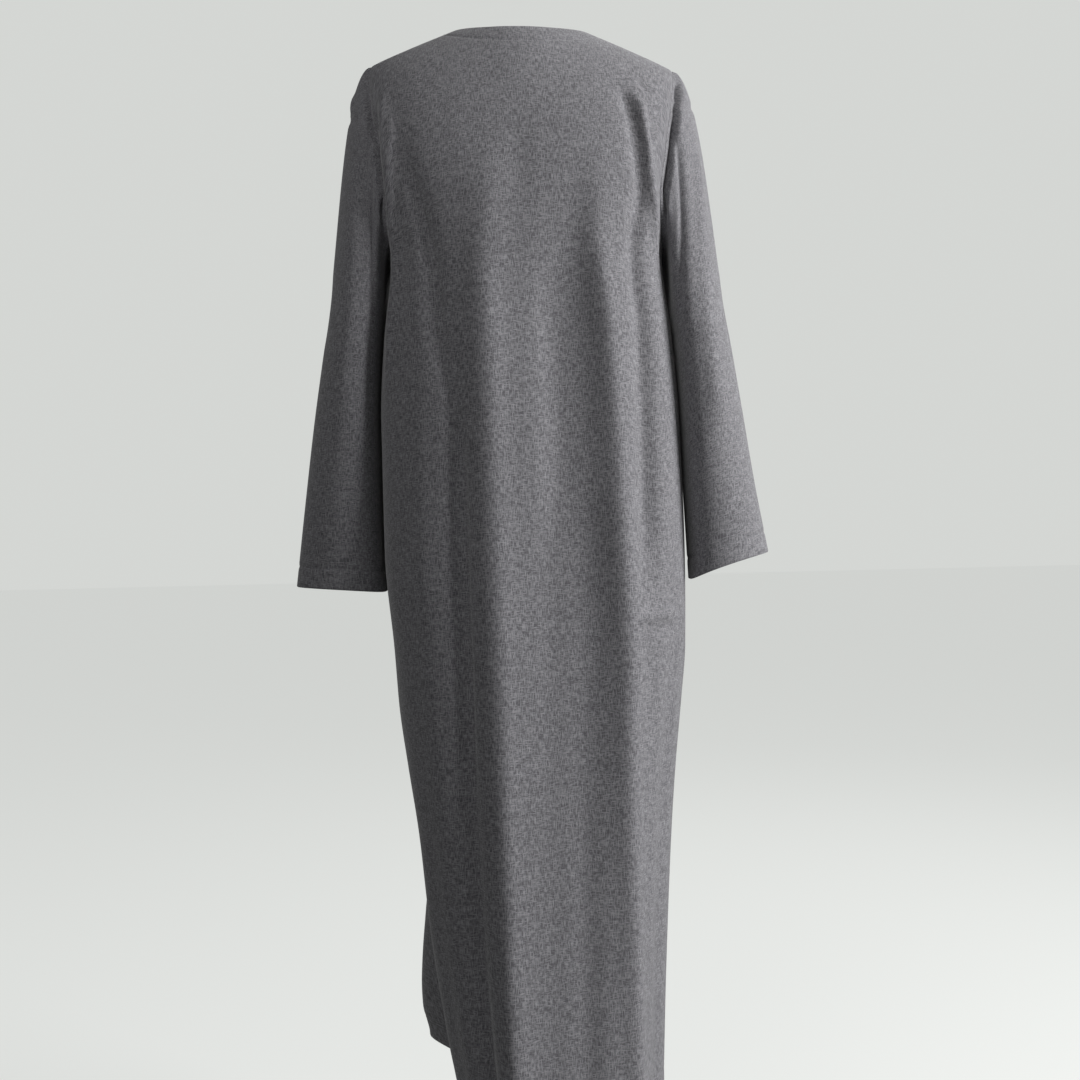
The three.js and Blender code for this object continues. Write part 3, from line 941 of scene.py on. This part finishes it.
@dataclass(frozen=True)
class Stitching:
    """A row of lockstitches, made along a line by Geometry Nodes.

    Args:
        pitch: the length of one stitch with its gap
        length: the thread that shows
        radius: the thread's radius
    """

    pitch: float = 3.2
    length: float = 2.3
    radius: float = 0.24

    def tree(self) -> bpy.types.GeometryNodeTree:
        """Builds the node tree, or returns it if it is there."""
        if "stitch row" in bpy.data.node_groups:
            return bpy.data.node_groups["stitch row"]
        tree = bpy.data.node_groups.new("stitch row", "GeometryNodeTree")
        face = tree.interface
        face.new_socket("Geometry", in_out="INPUT", socket_type="NodeSocketGeometry")
        for name in ("Pitch", "Length", "Radius"):
            face.new_socket(name, in_out="INPUT", socket_type="NodeSocketFloat")
        face.new_socket("Thread", in_out="INPUT", socket_type="NodeSocketMaterial")
        face.new_socket("Geometry", in_out="OUTPUT", socket_type="NodeSocketGeometry")
        nodes, link = tree.nodes, tree.links.new
        given, made = nodes.new("NodeGroupInput"), nodes.new("NodeGroupOutput")
        curve = nodes.new("GeometryNodeMeshToCurve")
        spaced = nodes.new("GeometryNodeResampleCurve")
        spaced.mode = "LENGTH"
        tangent = nodes.new("GeometryNodeInputTangent")
        turned = nodes.new("FunctionNodeAlignRotationToVector")
        turned.axis = "Z"
        thread = nodes.new("GeometryNodeMeshCylinder")
        thread.fill_type = "TRIANGLE_FAN"
        thread.inputs["Vertices"].default_value = 6
        thread.inputs["Side Segments"].default_value = 2
        placed = nodes.new("GeometryNodeInstanceOnPoints")
        real = nodes.new("GeometryNodeRealizeInstances")
        dressed = nodes.new("GeometryNodeSetMaterial")
        link(given.outputs["Geometry"], curve.inputs["Mesh"])
        link(curve.outputs["Curve"], spaced.inputs["Curve"])
        link(given.outputs["Pitch"], spaced.inputs["Length"])
        link(given.outputs["Length"], thread.inputs["Depth"])
        link(given.outputs["Radius"], thread.inputs["Radius"])
        link(tangent.outputs["Tangent"], turned.inputs["Vector"])
        link(spaced.outputs["Curve"], placed.inputs["Points"])
        link(thread.outputs["Mesh"], placed.inputs["Instance"])
        link(turned.outputs["Rotation"], placed.inputs["Rotation"])
        link(placed.outputs["Instances"], real.inputs["Geometry"])
        link(real.outputs["Geometry"], dressed.inputs["Geometry"])
        link(given.outputs["Thread"], dressed.inputs["Material"])
        link(dressed.outputs["Geometry"], made.inputs["Geometry"])
        return tree

    def row(self, name: str, line: Array, closed: bool, thread: bpy.types.Material) -> bpy.types.Object:
        """Makes one row of stitches as a plain mesh.

        Args:
            name: the object's name
            line: the row's points in millimetres
            closed: whether the row runs all round
            thread: the thread's material
        Returns:
            the stitches' object
        """
        count = len(line)
        edges = [(i, i + 1) for i in range(count - 1)] + ([(count - 1, 0)] if closed else [])
        guide = bpy.data.meshes.new(f"{name}_line")
        guide.from_pydata(line * METRES, edges, [])
        holder = placed(f"{name}_guide", guide)
        tree = self.tree()
        nodes = holder.modifiers.new("stitches", "NODES")
        nodes.node_group = tree
        values = {"Pitch": self.pitch, "Length": self.length, "Radius": self.radius}
        for socket in tree.interface.items_tree:
            if socket.in_out == "INPUT" and socket.name in values:
                nodes[socket.identifier] = values[socket.name] * METRES
            elif socket.in_out == "INPUT" and socket.name == "Thread":
                nodes[socket.identifier] = thread
        depsgraph = bpy.context.evaluated_depsgraph_get()
        mesh = bpy.data.meshes.new_from_object(holder.evaluated_get(depsgraph))
        bpy.data.objects.remove(holder)
        mesh.name = name
        mesh.shade_smooth()
        return placed(name, mesh)


class WeaveGroup:
    """The heathered plain weave, as a shader node group that every cloth finish uses."""

    NAME = "heathered weave"
    WARP_LONGER = 1.5  # the warp's streaks beside the weft's
    WEFT_DARKER = 0.03
    TOP_SHARE = 0.6  # how much the lighter yarn covers, whichever lies on top
    CLOUD_SCALE = 0.045
    STREAK_WIDTH = 0.8

    def build(self) -> bpy.types.ShaderNodeTree:
        """Builds the group, or returns it if it is there.

        Returns:
            the group, which puts out a mask of the light yarns and a height
        """
        if self.NAME in bpy.data.node_groups:
            return bpy.data.node_groups[self.NAME]
        tree = bpy.data.node_groups.new(self.NAME, "ShaderNodeTree")
        face = tree.interface
        face.new_socket("Place", in_out="INPUT", socket_type="NodeSocketVector")
        for name in ("Yarns per metre", "Streak length", "Slub"):
            face.new_socket(name, in_out="INPUT", socket_type="NodeSocketFloat")
        for name in ("Light yarn", "Height"):
            face.new_socket(name, in_out="OUTPUT", socket_type="NodeSocketFloat")
        self.tree = tree
        given, made = tree.nodes.new("NodeGroupInput"), tree.nodes.new("NodeGroupOutput")
        scaled = self.vector("SCALE", given.outputs["Place"])
        tree.links.new(given.outputs["Yarns per metre"], scaled.inputs["Scale"])
        split = tree.nodes.new("ShaderNodeSeparateXYZ")
        tree.links.new(scaled.outputs["Vector"], split.inputs["Vector"])
        across, along = split.outputs["X"], split.outputs["Y"]
        longer = self.math("MULTIPLY", given.outputs["Streak length"], self.WARP_LONGER)
        warp = self.streaks(across, along, longer, 3.1)
        plain = self.streaks(along, across, given.outputs["Streak length"], 17.7)
        weft = self.math("SUBTRACT", plain, self.WEFT_DARKER)
        over = self.checker(across, along)
        top = self.math("MULTIPLY", self.math("MAXIMUM", warp, weft), self.TOP_SHARE)
        woven = self.math("MULTIPLY", self.mix(over, warp, weft), 1.0 - self.TOP_SHARE)
        yarn = self.math("ADD", woven, top)
        cloud = self.noise(scaled.outputs["Vector"], self.CLOUD_SCALE, 2.0)
        slub = self.math("MULTIPLY", self.math("SUBTRACT", cloud, 0.5), given.outputs["Slub"])
        tree.links.new(self.math("ADD", yarn, slub), made.inputs["Light yarn"])
        warp_round = self.rounded(across)
        weft_round = self.rounded(along)
        relief = self.mix(over, warp_round, weft_round)
        thick = self.math("MULTIPLY_ADD", yarn, 0.5, 0.75)
        tree.links.new(self.math("MULTIPLY", relief, thick), made.inputs["Height"])
        return tree

    def math(self, kind: str, *values: object) -> bpy.types.NodeSocket:
        """A maths node on sockets or numbers."""
        node = self.tree.nodes.new("ShaderNodeMath")
        node.operation = kind
        for i, value in enumerate(values):
            if isinstance(value, (int, float)):
                node.inputs[i].default_value = value
            else:
                self.tree.links.new(value, node.inputs[i])
        return node.outputs["Value"]

    def vector(self, kind: str, value: bpy.types.NodeSocket) -> bpy.types.Node:
        """A vector maths node."""
        node = self.tree.nodes.new("ShaderNodeVectorMath")
        node.operation = kind
        self.tree.links.new(value, node.inputs[0])
        return node

    def noise(self, place: bpy.types.NodeSocket, scale: float, detail: float) -> bpy.types.NodeSocket:
        """A noise value at a place."""
        node = self.tree.nodes.new("ShaderNodeTexNoise")
        node.inputs["Scale"].default_value = scale
        node.inputs["Detail"].default_value = detail
        self.tree.links.new(place, node.inputs["Vector"])
        return node.outputs["Fac"]

    def mix(self, share: object, first: object, second: object) -> bpy.types.NodeSocket:
        """The second value where the share is 1, and the first where it is 0."""
        node = self.tree.nodes.new("ShaderNodeMix")
        node.data_type = "FLOAT"
        self.tree.links.new(share, node.inputs[0])
        self.tree.links.new(first, node.inputs[2])
        self.tree.links.new(second, node.inputs[3])
        return node.outputs[0]

    def streaks(self, across: object, along: object, length: object, seed: float) -> bpy.types.NodeSocket:
        """Light and dark stretches along each yarn of one direction."""
        place = self.tree.nodes.new("ShaderNodeCombineXYZ")
        self.tree.links.new(self.math("MULTIPLY", across, self.STREAK_WIDTH), place.inputs["X"])
        self.tree.links.new(self.math("DIVIDE", along, length), place.inputs["Y"])
        place.inputs["Z"].default_value = seed
        return self.noise(place.outputs["Vector"], 1.0, 1.0)

    def checker(self, across: object, along: object) -> bpy.types.NodeSocket:
        """1 where the weft lies on top and 0 where the warp does, as a plain weave has them."""
        odd = self.math("ADD", self.math("FLOOR", across), self.math("FLOOR", along))
        return self.math("MODULO", self.math("ABSOLUTE", odd), 2.0)

    def rounded(self, across: object) -> bpy.types.NodeSocket:
        """The round top of the yarns of one direction."""
        wave = self.math("SINE", self.math("MULTIPLY", self.math("FRACT", across), math.pi))
        return self.math("POWER", self.math("ABSOLUTE", wave), 0.6)


@dataclass(frozen=True)
class ClothFinish:
    """Matt heathered suiting cloth: dark and light grey yarns, a cool cast and a faint sheen."""

    name: str = "heathered grey cloth"
    dark: tuple[float, float, float] = (0.075, 0.073, 0.08)
    light: tuple[float, float, float] = (0.235, 0.232, 0.245)
    yarns: float = 1100.0
    streak: float = 6.0
    slub: float = 0.06
    roughness: float = 0.86
    sheen: float = 0.25
    bump: float = 0.35
    yarn_height: float = 0.16
    sheen_roughness: float = 0.45
    specular: float = 0.25
    darkest: float = 0.4
    lightest: float = 0.7

    def build(self) -> bpy.types.Material:
        """Builds the material.

        Returns:
            the material, which reads the cloth's own UV map
        """
        material = bpy.data.materials.new(self.name)
        material.use_nodes = True
        nodes, link = material.node_tree.nodes, material.node_tree.links.new
        shader = nodes["Principled BSDF"]
        shader.inputs["Roughness"].default_value = self.roughness
        shader.inputs["Sheen Weight"].default_value = self.sheen
        shader.inputs["Sheen Roughness"].default_value = self.sheen_roughness
        shader.inputs["Specular IOR Level"].default_value = self.specular
        place = nodes.new("ShaderNodeUVMap")
        place.uv_map = "cloth"
        weave = nodes.new("ShaderNodeGroup")
        weave.node_tree = WeaveGroup().build()
        weave.inputs["Yarns per metre"].default_value = self.yarns
        weave.inputs["Streak length"].default_value = self.streak
        weave.inputs["Slub"].default_value = self.slub
        link(place.outputs["UV"], weave.inputs["Place"])
        ramp = nodes.new("ShaderNodeValToRGB")
        ramp.color_ramp.elements[0].position = self.darkest
        ramp.color_ramp.elements[0].color = (*self.dark, 1.0)
        ramp.color_ramp.elements[1].position = self.lightest
        ramp.color_ramp.elements[1].color = (*self.light, 1.0)
        link(weave.outputs["Light yarn"], ramp.inputs["Fac"])
        link(ramp.outputs["Color"], shader.inputs["Base Color"])
        bump = nodes.new("ShaderNodeBump")
        bump.inputs["Strength"].default_value = self.bump
        bump.inputs["Distance"].default_value = self.yarn_height * METRES
        link(weave.outputs["Height"], bump.inputs["Height"])
        link(bump.outputs["Normal"], shader.inputs["Normal"])
        return material


@dataclass(frozen=True)
class ThreadFinish:
    """Grey sewing thread, a little lighter than the cloth."""

    name: str = "grey thread"
    colour: tuple[float, float, float] = (0.24, 0.238, 0.25)
    roughness: float = 0.6

    def build(self) -> bpy.types.Material:
        """Builds the material.

        Returns:
            the thread's material, with its twist as a bump
        """
        material = bpy.data.materials.new(self.name)
        material.use_nodes = True
        nodes, link = material.node_tree.nodes, material.node_tree.links.new
        shader = nodes["Principled BSDF"]
        shader.inputs["Roughness"].default_value = self.roughness
        shader.inputs["Sheen Weight"].default_value = 0.2
        place = nodes.new("ShaderNodeTexCoord")
        twist = nodes.new("ShaderNodeTexNoise")
        twist.inputs["Scale"].default_value = 2200.0
        tint = nodes.new("ShaderNodeValToRGB")
        tint.color_ramp.elements[0].color = (*[0.8 * c for c in self.colour], 1.0)
        tint.color_ramp.elements[1].color = (*[1.2 * c for c in self.colour], 1.0)
        link(place.outputs["Object"], twist.inputs["Vector"])
        link(twist.outputs["Fac"], tint.inputs["Fac"])
        link(tint.outputs["Color"], shader.inputs["Base Color"])
        return material


# Creases of each piece. A panel's stations are X and height, a sleeve's are the share of the way
# round, from the inner side over the back, and the height.
BACK_CREASES = [
    # Line beside the long crease on the left, and the soft lines down the middle
    Crease(((143, -170), (130, -238), (113, -312), (106, -386), (104, -445), (95, -478), (84, -517)),
           -2.4, 6, 5, 50),
    Crease(((88, -490), (82, -569), (81, -650), (80, -760), (79, -870), (78, -990)), -3.0, 4, 6, 90),
    # Ease that makes the long ridge fall away evenly into the trough beside it
    Crease(((-34, -250), (-34, -520), (-22, -700), (-18, -900), (-16, -1200), (-16, -1500)),
           -5.2, 26, 26, 150),
    Crease(((50, -240), (44, -500), (40, -800), (38, -1100), (38, -1500)), 2.6, 28, 14, 150),
    # The second ridge is softer above the waist
    Crease(((-90, -210), (-94, -400), (-98, -520), (-102, -640)), -3.6, 22, 22, 90),
    Crease(((3, -120), (4, -190), (5, -270)), -1.6, 14, 12, 60),
    Crease(((46, -150), (42, -230), (40, -330)), 1.6, 18, 16, 80),
    Crease(((-28, -300), (-34, -480), (-36, -700)), -1.5, 16, 16, 160),
    # Drag lines of the right shoulder
    Crease(((-104, -84), (-122, -106), (-136, -136), (-143, -170), (-145, -215), (-141, -280)),
           -2.8, 9, 6, 40),
    Crease(((-128, -92), (-146, -128), (-151, -165), (-155, -215), (-162, -280), (-167, -330)),
           2.6, 5, 5, 45),
    Crease(((-152, -115), (-158, -150), (-159, -195)), -2.6, 5, 4, 30),
    Crease(((-140, -70), (-150, -92), (-157, -120)), -1.4, 5, 5, 25),
    # Left edge beside the armhole
    Crease(((164, -100), (163, -170), (164, -260), (165, -340)), 3.0, 6, 6, 50),
    # Short marks where the hand brushed the right side
    Crease(((-118, -748), (-145, -751), (-176, -748)), 5.0, 6, 6, 16),
    Crease(((-144, -762), (-158, -764), (-176, -762)), -3.2, 4, 4, 10),
]
FRONT_CREASES = [
    Crease(((118, -130), (104, -190), (96, -280), (94, -400)), -2.4, 9, 8, 70),
    Crease(((-112, -140), (-101, -200), (-90, -300), (-86, -420)), -2.6, 9, 7, 80),
    Crease(((20, -190), (26, -300), (24, -430)), 1.5, 18, 16, 90),
    Crease(((-30, -360), (-34, -520), (-32, -700)), -1.5, 15, 15, 150),
    Crease(((148, -120), (152, -170), (150, -230)), -1.8, 5, 5, 40),
    Crease(((-150, -116), (-154, -160), (-153, -214)), -1.9, 5, 5, 40),
    Crease(((70, -620), (76, -800), (80, -1000)), 1.6, 12, 10, 160),
    # The swinging fold rounds in at its hem
    Crease(((92, -1306), (92, -1420)), -8.0, 34, 34, 44),
]
LEFT_SLEEVE_CREASES = [
    # Crease and bulge of the head, then the long soft hollow towards the body
    Crease(((0.56, -104), (0.5, -107), (0.43, -110), (0.36, -115), (0.31, -112)), -2.0, 5, 6, 20),
    Crease(((0.5, -76), (0.46, -88), (0.42, -99)), 2.6, 8, 7, 12),
    Crease(((0.36, -96), (0.33, -112), (0.3, -150)), -2.0, 5, 6, 20),
    Crease(((0.22, -140), (0.2, -240), (0.17, -380), (0.14, -520)), -3.0, 12, 16, 90),
    Crease(((0.34, -130), (0.33, -230), (0.31, -360), (0.3, -520)), 2.2, 18, 20, 90),
    Crease(((0.47, -300), (0.45, -380), (0.4, -430)), -1.6, 9, 9, 50),
    Crease(((0.66, -170), (0.68, -260), (0.67, -380)), -2.4, 9, 9, 70),
    Crease(((0.8, -200), (0.83, -330), (0.86, -460)), 2.0, 12, 12, 90),
    Crease(((0.72, -430), (0.79, -470), (0.87, -480)), -1.8, 8, 8, 40),
]
RIGHT_SLEEVE_CREASES = [
    # Leaf-shaped bulge of the head with its crease below, then the deep hollow beside the body
    Crease(((0.26, -66), (0.31, -82), (0.35, -104)), 2.4, 6, 6, 14),
    Crease(((0.3, -112), (0.37, -110), (0.44, -104), (0.5, -100), (0.56, -99)), -2.0, 5, 5, 18),
    Crease(((0.23, -80), (0.26, -104), (0.28, -140)), -2.4, 5, 6, 24),
    Crease(((0.26, -110), (0.24, -200), (0.21, -300), (0.17, -420)), -4.5, 14, 15, 80),
    Crease(((0.38, -124), (0.36, -200), (0.34, -300), (0.31, -420), (0.29, -540)), 3.2, 14, 20, 80),
    Crease(((0.47, -320), (0.44, -400), (0.42, -470)), -1.5, 9, 9, 50),
    Crease(((0.63, -150), (0.66, -250), (0.65, -360)), -2.4, 9, 9, 70),
    Crease(((0.82, -220), (0.8, -350), (0.84, -500)), 2.0, 12, 12, 90),
    Crease(((0.7, -460), (0.78, -490), (0.86, -500)), -1.8, 8, 8, 40),
]


@dataclass
class Abaya:
    """The whole garment: two panels, two sleeves and their stitches."""

    cloth: ClothFinish = field(default_factory=ClothFinish)
    thread: ThreadFinish = field(default_factory=ThreadFinish)
    stitching: Stitching = field(default_factory=Stitching)

    def build(self) -> list[bpy.types.Object]:
        """Builds and dresses every piece, hides the solid that each stands in for, and logs its faces.

        Returns:
            the pieces
        """
        cloth, thread = self.cloth.build(), self.thread.build()
        back = BodyPanel(Face.BACK, BACK_CREASES)
        front = BodyPanel(Face.FRONT, FRONT_CREASES)
        left = Sleeve(Side.LEFT, LEFT_SLEEVE_CREASES)
        right = Sleeve(Side.RIGHT, RIGHT_SLEEVE_CREASES)
        pieces = []
        for maker, node, cut in (
            (back, "back_panel", (0.57, 1.43, 0.7)),
            (front, "front_panel", (0.57, 1.4, 0.69)),
            (left, "sleeve_left", (0.4, 0.73, 0.2)),
            (right, "sleeve_right", (0.4, 0.71, 0.195)),
        ):
            obj = maker.build()
            obj.data.materials.append(cloth)
            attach(obj, BODY)
            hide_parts(node)
            pieces.append((obj, node, cut))
        rows = {"back_panel": [], "front_panel": [], "sleeve_left": [], "sleeve_right": []}
        for name, node, line, closed in (
            ("hem_stitches_back", "back_panel", back.stitch_lines["hem"], False),
            ("hem_stitches_front", "front_panel", front.stitch_lines["hem"], False),
            ("neck_stitches_back", "back_panel", back.stitch_lines["neck"], False),
            ("neck_stitches_front", "front_panel", front.stitch_lines["neck"], False),
            ("cuff_stitches_left", "sleeve_left", left.stitch_lines["cuff"], True),
            ("cuff_stitches_right", "sleeve_right", right.stitch_lines["cuff"], True),
        ):
            row = self.stitching.row(name, line, closed, thread)
            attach(row, BODY)
            rows[node].append(row)
        for obj, node, cut in pieces:
            LOG.info("%s: %d faces", obj.name, len(obj.data.polygons))
        return [obj for obj, _, _ in pieces]


@dataclass(frozen=True)
class Studio:
    """Pale floor, soft light and the camera straight behind the garment."""

    frame_width: float = 1080.0
    focal: float = 1231.0
    sensor: float = 36.0
    distance: float = 1.6
    height: float = -0.655
    aside: float = -0.0095
    roll: float = 1.36
    floor_z: float = -1.62
    floor_reach: float = 30.0
    room_colour: tuple[float, float, float] = (0.66, 0.675, 0.655)
    floor_colour: tuple[float, float, float] = (0.2, 0.203, 0.2)
    floor_glow: float = 0.93
    fill: float = 0.12

    def build(self) -> None:
        """Makes the camera, the world, the floor and the lights."""
        self.camera()
        self.world()
        self.floor()
        self.light("key", (-2.76, 0.93, 0.3), (-0.05, 0.05, -0.7), 1.6, 168.0)
        self.light("soft", (0.8, 1.9, 1.5), (0.0, 0.0, -0.3), 1.4, 29.0)
        self.light("front", (-1.0, -2.2, 1.1), (0.0, 0.0, -0.5), 1.6, 26.0)

    def camera(self) -> None:
        """Makes the camera straight behind the garment, with the photograph's slight roll."""
        data = bpy.data.cameras.new("camera")
        data.sensor_width = self.sensor
        data.lens = self.focal * self.sensor / self.frame_width
        data.clip_start, data.clip_end = 0.05, 100.0
        camera = placed("camera", data)
        turn = Matrix.Rotation(math.pi, 4, "Z") @ Matrix.Rotation(math.pi / 2.0, 4, "X")
        roll = Matrix.Rotation(math.radians(-self.roll), 4, "Z")
        place = Matrix.Translation(Vector((self.aside, self.distance, self.height)))
        camera.matrix_world = place @ turn @ roll
        bpy.context.scene.camera = camera

    def world(self) -> None:
        """Fills the room with even pale light."""
        world = bpy.data.worlds.new("room")
        world.use_nodes = True
        nodes, link = world.node_tree.nodes, world.node_tree.links.new
        seen = nodes["Background"]
        seen.inputs["Color"].default_value = (*self.room_colour, 1.0)
        fill = nodes.new("ShaderNodeBackground")
        fill.inputs["Color"].default_value = (*self.room_colour, 1.0)
        fill.inputs["Strength"].default_value = self.fill
        path = nodes.new("ShaderNodeLightPath")
        mixed = nodes.new("ShaderNodeMixShader")
        link(path.outputs["Is Camera Ray"], mixed.inputs["Fac"])
        link(fill.outputs["Background"], mixed.inputs[1])
        link(seen.outputs["Background"], mixed.inputs[2])
        link(mixed.outputs["Shader"], nodes["World Output"].inputs["Surface"])
        bpy.context.scene.world = world
        bpy.context.scene.view_settings.view_transform = "Standard"

    def floor(self) -> None:
        """Makes the pale floor far below the hem."""
        reach = self.floor_reach
        mesh = bpy.data.meshes.new("floor")
        corners = [(-reach, -reach), (reach, -reach), (reach, reach), (-reach, reach)]
        mesh.from_pydata([(x, y, self.floor_z) for x, y in corners], [], [(0, 1, 2, 3)])
        material = bpy.data.materials.new("pale floor")
        material.use_nodes = True
        shader = material.node_tree.nodes["Principled BSDF"]
        shader.inputs["Base Color"].default_value = (*self.floor_colour, 1.0)
        shader.inputs["Roughness"].default_value = 0.9
        shader.inputs["Specular IOR Level"].default_value = 0.1
        shader.inputs["Emission Color"].default_value = (*self.room_colour, 1.0)
        path = material.node_tree.nodes.new("ShaderNodeLightPath")
        glow = material.node_tree.nodes.new("ShaderNodeMath")
        glow.operation = "MULTIPLY"
        glow.inputs[1].default_value = self.floor_glow
        material.node_tree.links.new(path.outputs["Is Camera Ray"], glow.inputs[0])
        material.node_tree.links.new(glow.outputs["Value"], shader.inputs["Emission Strength"])
        mesh.materials.append(material)
        placed("floor", mesh)

    def light(self, name: str, place: tuple, target: tuple, size: float, power: float) -> None:
        """Makes a soft square light that faces a target.

        Args:
            name: the light's name
            place: where it stands
            target: what it faces
            size: the length of its side
            power: its power in watts
        """
        data = bpy.data.lights.new(name, "AREA")
        data.size = size
        data.energy = power
        lamp = placed(name, data)
        lamp.location = place
        lamp.rotation_mode = "QUATERNION"
        lamp.rotation_quaternion = (Vector(target) - Vector(place)).to_track_quat("-Z", "Y")


def main() -> None:
    """Builds the studio and the garment."""
    logging.basicConfig(level=logging.INFO, format="%(name)s %(message)s")
    Studio().build()
    Abaya().build()


if __name__ == "__main__":
    main()
